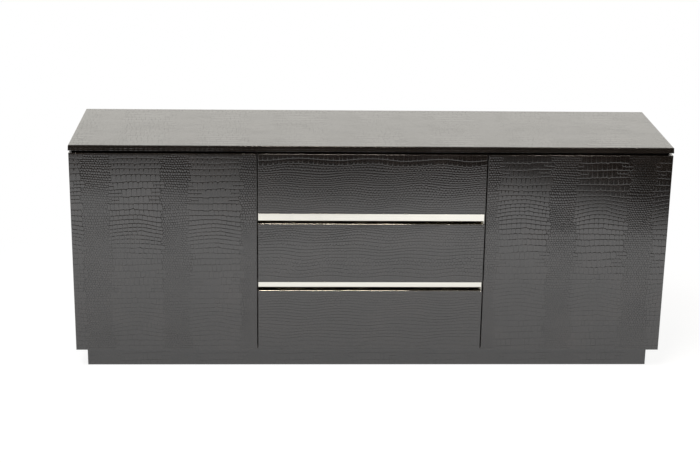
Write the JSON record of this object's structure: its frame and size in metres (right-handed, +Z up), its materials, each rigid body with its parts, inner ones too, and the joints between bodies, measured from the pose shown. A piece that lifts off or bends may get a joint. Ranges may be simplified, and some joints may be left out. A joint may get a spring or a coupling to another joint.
{
  "type": "sideboard buffet",
  "caption": "Long low sideboard with hinged doors at both ends, drawers with full-width metal finger pulls between them, a top over a shadow gap and a recessed plinth.",
  "frame": {"origin": "on the floor under the middle of the top board's outline", "axes": "+X to the right along the length, +Y from the fronts to the back, +Z up"},
  "size_m": [2, 0.5, 0.79],
  "materials": {
    "croc_black": "fibreboard wrapped in glossy black crocodile-embossed covering",
    "inner_laminate": "matt black-brown laminate",
    "drawer_laminate": "matt grey woven-look laminate",
    "pull_metal": "polished pale champagne plate",
    "hinge_steel": "nickel-plated steel",
    "runner_steel": "zinc-plated sheet steel",
    "latch_plastic": "moulded nylon",
    "buffer_rubber": "soft rubber",
    "dowel_beech": "fluted beech"
  },
  "bodies": {
    "carcass": {"top_panel": "croc_black", "left_side_panel": "croc_black", "right_side_panel": "croc_black", "plinth_front": "croc_black", "plinth_back": "croc_black", "plinth_left": "croc_black", "plinth_right": "croc_black", "bottom_panel": "inner_laminate", "sub_top": "inner_laminate", "back_panel": "inner_laminate", "left_partition": "inner_laminate", "right_partition": "inner_laminate", "left_shelf": "inner_laminate", "right_shelf": "inner_laminate", "top_spacer_strips": "inner_laminate", "plinth_cross_rails": "inner_laminate", "hinge_arms": "hinge_steel", "hinge_plates": "hinge_steel", "shelf_pins": "hinge_steel", "runner_outers": "runner_steel", "latch_bodies": "latch_plastic", "carcass_dowels": "dowel_beech"},
    "left_door": {"left_door": "croc_black", "left_hinge_cups": "hinge_steel", "left_hinge_pins": "hinge_steel", "left_strike_plate": "hinge_steel", "left_door_buffers": "buffer_rubber"},
    "right_door": {"right_door": "croc_black", "right_hinge_cups": "hinge_steel", "right_hinge_pins": "hinge_steel", "right_strike_plate": "hinge_steel", "right_door_buffers": "buffer_rubber"},
    "top_drawer": {"top_drawer_front": "croc_black", "top_runner_inners": "runner_steel", "top_drawer_box_front": "drawer_laminate", "top_drawer_box_back": "drawer_laminate", "top_drawer_left_side": "drawer_laminate", "top_drawer_right_side": "drawer_laminate", "top_drawer_bottom": "drawer_laminate"},
    "top_runner_slide": {"top_runner_middles": "runner_steel"},
    "middle_drawer": {"middle_drawer_front": "croc_black", "middle_runner_inners": "runner_steel", "middle_drawer_box_front": "drawer_laminate", "middle_drawer_box_back": "drawer_laminate", "middle_drawer_left_side": "drawer_laminate", "middle_drawer_right_side": "drawer_laminate", "middle_drawer_bottom": "drawer_laminate", "middle_drawer_pull": "pull_metal"},
    "middle_runner_slide": {"middle_runner_middles": "runner_steel"},
    "bottom_drawer": {"bottom_drawer_front": "croc_black", "bottom_runner_inners": "runner_steel", "bottom_drawer_box_front": "drawer_laminate", "bottom_drawer_box_back": "drawer_laminate", "bottom_drawer_left_side": "drawer_laminate", "bottom_drawer_right_side": "drawer_laminate", "bottom_drawer_bottom": "drawer_laminate", "bottom_drawer_pull": "pull_metal"},
    "bottom_runner_slide": {"bottom_runner_middles": "runner_steel"},
    "left_plunger": {"left_latch_plunger": "latch_plastic"},
    "right_plunger": {"right_latch_plunger": "latch_plastic"}
  },
  "joints": [
    {"name": "left_door_hinge", "type": "hinge", "parent": "carcass", "child": "left_door", "pos_m": [-0.991, -0.241, 0.4155], "axis": [0, 0, -1], "range_deg": [0, 100]},
    {"name": "right_door_hinge", "type": "hinge", "parent": "carcass", "child": "right_door", "pos_m": [0.991, -0.241, 0.4155], "axis": [0, 0, 1], "range_deg": [0, 100]},
    {"name": "top_drawer_slide", "type": "slide", "parent": "carcass", "child": "top_drawer", "axis": [0, -1, 0], "range_m": [0, 0.4]},
    {"name": "top_runner_travel", "type": "slide", "parent": "carcass", "child": "top_runner_slide", "axis": [0, -1, 0], "range_m": [0, 0.2]},
    {"name": "middle_drawer_slide", "type": "slide", "parent": "carcass", "child": "middle_drawer", "axis": [0, -1, 0], "range_m": [0, 0.4]},
    {"name": "middle_runner_travel", "type": "slide", "parent": "carcass", "child": "middle_runner_slide", "axis": [0, -1, 0], "range_m": [0, 0.2]},
    {"name": "bottom_drawer_slide", "type": "slide", "parent": "carcass", "child": "bottom_drawer", "axis": [0, -1, 0], "range_m": [0, 0.4]},
    {"name": "bottom_runner_travel", "type": "slide", "parent": "carcass", "child": "bottom_runner_slide", "axis": [0, -1, 0], "range_m": [0, 0.2]},
    {"name": "left_plunger_press", "type": "slide", "parent": "carcass", "child": "left_plunger", "axis": [0, 1, 0], "range_m": [0, 0.003], "stiffness_N_per_m": 400},
    {"name": "right_plunger_press", "type": "slide", "parent": "carcass", "child": "right_plunger", "axis": [0, 1, 0], "range_m": [0, 0.003], "stiffness_N_per_m": 400}
  ],
  "couplings": [
    {"joint": "top_runner_travel", "follows": "top_drawer_slide", "ratio": 0.5},
    {"joint": "middle_runner_travel", "follows": "middle_drawer_slide", "ratio": 0.5},
    {"joint": "bottom_runner_travel", "follows": "bottom_drawer_slide", "ratio": 0.5}
  ]
}
